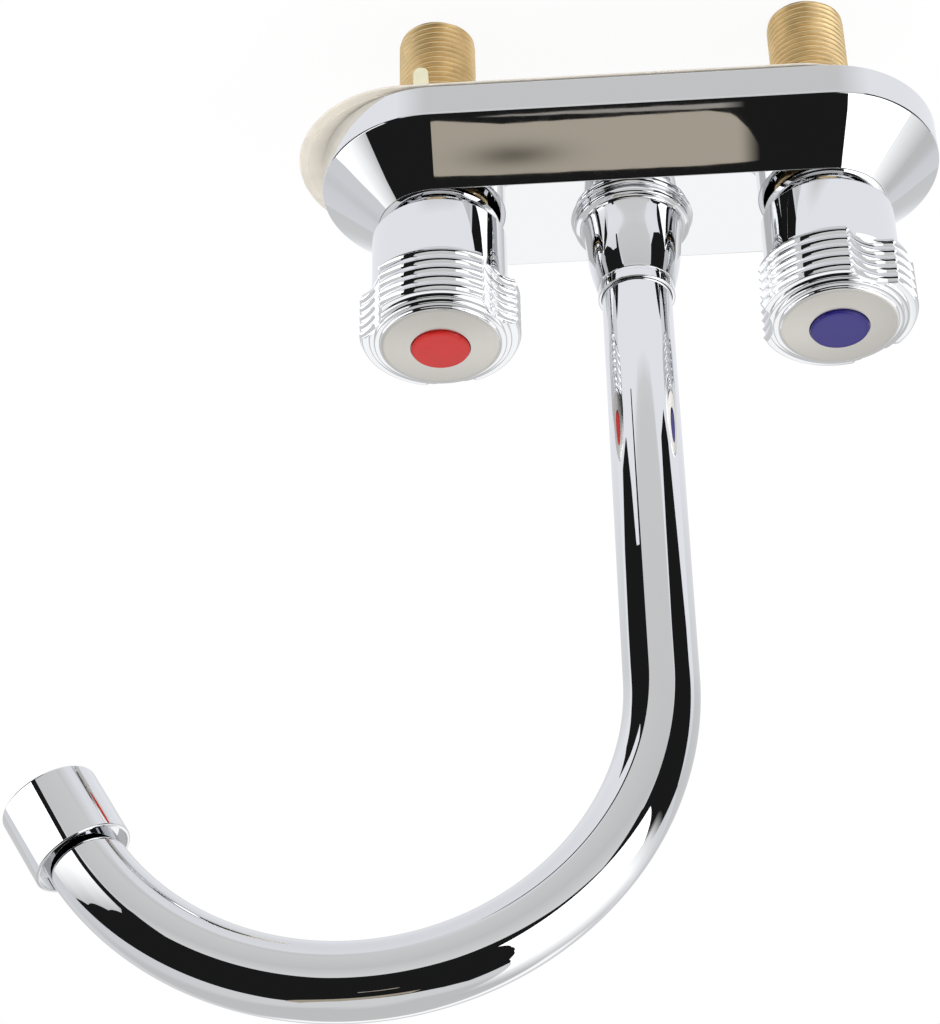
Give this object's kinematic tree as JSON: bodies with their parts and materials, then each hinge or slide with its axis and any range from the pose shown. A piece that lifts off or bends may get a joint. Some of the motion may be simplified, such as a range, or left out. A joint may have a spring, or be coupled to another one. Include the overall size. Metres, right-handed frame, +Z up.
{
  "type": "centerset bathroom faucet",
  "caption": "Chromed centerset basin faucet: lobed knob handles on a sloped deck cover, swivel gooseneck spout with aerator, threaded brass inlet shanks and base gasket.",
  "frame": {"origin": "on the deck face (underside of the base gasket), midway between the two supply shanks, on the spout's swivel axis", "axes": "+X towards the cold shank, +Z up out of the deck along the swivel and handle axes, +Y towards the back of the deck; at rest the spout is swung to -X, over the hot side"},
  "size_m": [0.2342, 0.062, 0.2883],
  "materials": {
    "chrome_plate": "polished chrome plate",
    "bare_brass": "machined",
    "cream_plastic": "moulded",
    "white_plastic": "moulded",
    "black_rubber": "moulded",
    "ceramic": "lapped",
    "steel_mesh": "bright stainless",
    "red_plastic": "glossy",
    "blue_plastic": "glossy"
  },
  "bodies": {
    "base": {"base_gasket": "cream_plastic", "cartridge_orings": "black_rubber", "cold_cartridge_body": "bare_brass", "cold_fixed_disc": "ceramic", "cold_seat_seal": "black_rubber", "cold_valve_body": "bare_brass", "cover_nuts": "bare_brass", "cross_tubes": "bare_brass", "deck_cover": "chrome_plate", "hot_cartridge_body": "bare_brass", "hot_fixed_disc": "ceramic", "hot_seat_seal": "black_rubber", "hot_valve_body": "bare_brass", "spout_glide_ring": "white_plastic", "spout_hub": "bare_brass", "spout_nut": "chrome_plate"},
    "hot_handle": {"hot_knob": "chrome_plate", "hot_stem": "bare_brass", "hot_moving_disc": "ceramic", "hot_handle_screw": "steel_mesh", "hot_index_button": "red_plastic", "hot_stem_oring": "black_rubber", "hot_stem_clip": "steel_mesh"},
    "cold_handle": {"cold_knob": "chrome_plate", "cold_stem": "bare_brass", "cold_moving_disc": "ceramic", "cold_handle_screw": "steel_mesh", "cold_index_button": "blue_plastic", "cold_stem_oring": "black_rubber", "cold_stem_clip": "steel_mesh"},
    "spout": {"gooseneck_tube": "chrome_plate", "swivel_insert": "bare_brass", "spout_orings": "black_rubber", "outlet_adapter": "chrome_plate", "aerator_washer": "black_rubber", "aerator_shell": "chrome_plate", "aerator_core": "white_plastic", "aerator_screen": "steel_mesh"}
  },
  "joints": [
    {"name": "hot_turn", "type": "hinge", "parent": "base", "child": "hot_handle", "pos_m": [-0.0508, 0, 0], "axis": [0, 0, 1], "range_deg": [0, 90]},
    {"name": "cold_turn", "type": "hinge", "parent": "base", "child": "cold_handle", "pos_m": [0.0508, 0, 0], "axis": [0, 0, 1], "range_deg": [-90, 0]},
    {"name": "spout_swivel", "type": "hinge", "parent": "base", "child": "spout", "pos_m": [0, 0, 0], "axis": [0, 0, 1], "continuous": true}
  ]
}
